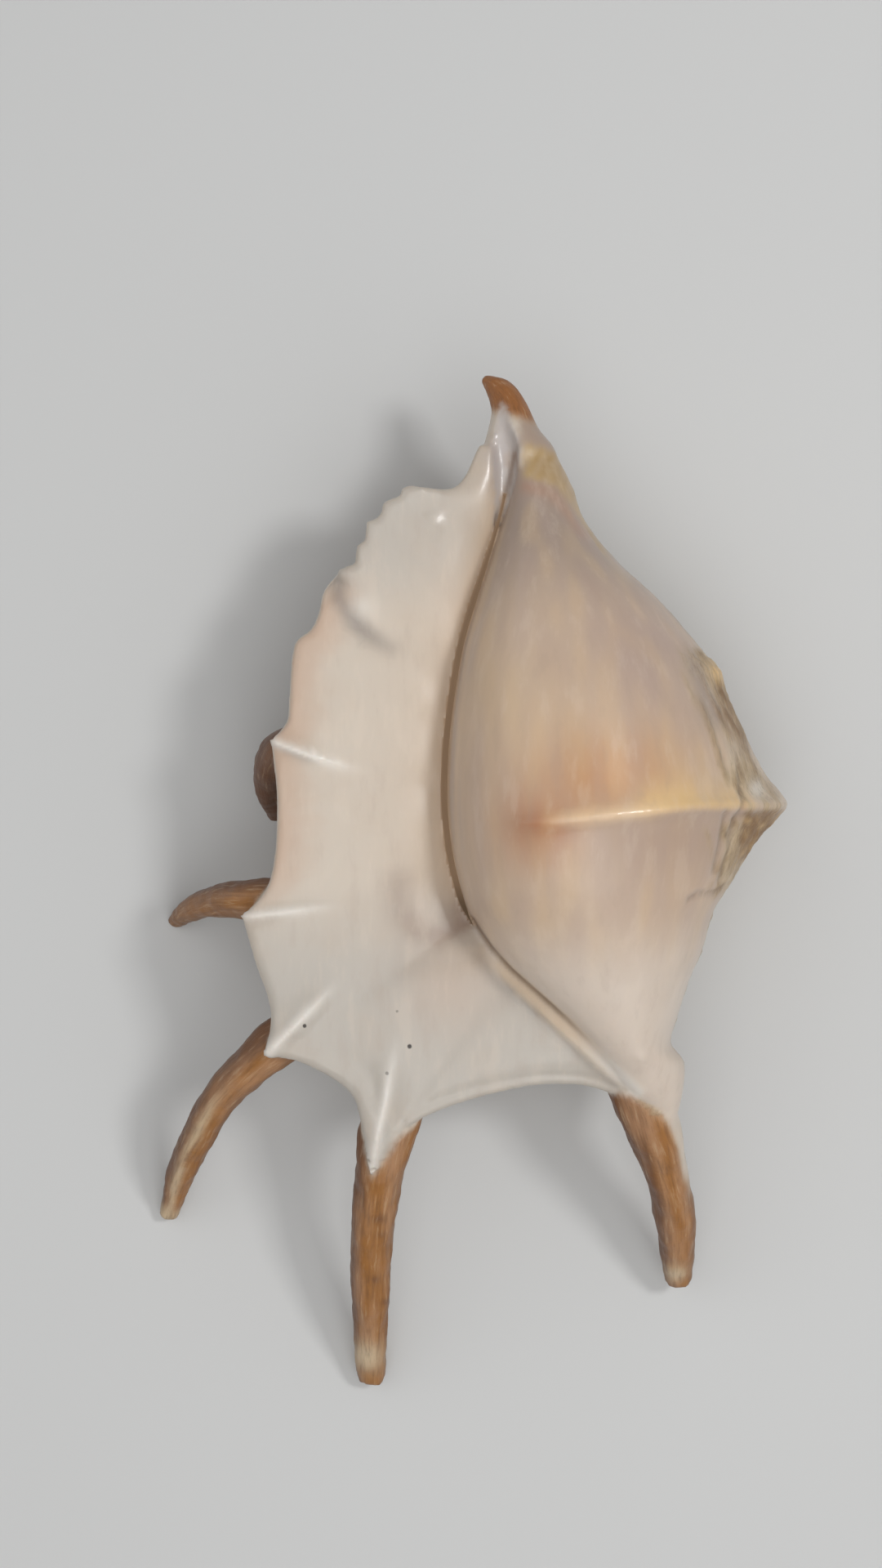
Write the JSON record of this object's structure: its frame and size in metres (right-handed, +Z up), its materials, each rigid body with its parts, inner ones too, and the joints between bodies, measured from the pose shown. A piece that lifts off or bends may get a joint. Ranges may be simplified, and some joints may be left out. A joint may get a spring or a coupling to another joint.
{
  "type": "spider conch shell",
  "caption": "Empty sea shell lying aperture up: a domed body whorl with a low spire, a broad flared outer lip, long curved digits on its margin, a bent siphonal canal and a narrow aperture.",
  "frame": {"origin": "centre of the bounding box at the level of the surface the shell lies on", "axes": "+Z up, out of the aperture side; +Y towards the siphonal canal; -X towards the flared outer lip"},
  "size_m": [0.111, 0.1776, 0.0547],
  "materials": {
    "shell": "glossy porcelain-like enamel on the lip and callus, rougher tan and brown on the digits and the back"
  },
  "bodies": {
    "root": {"shell": "shell"}
  },
  "joints": []
}
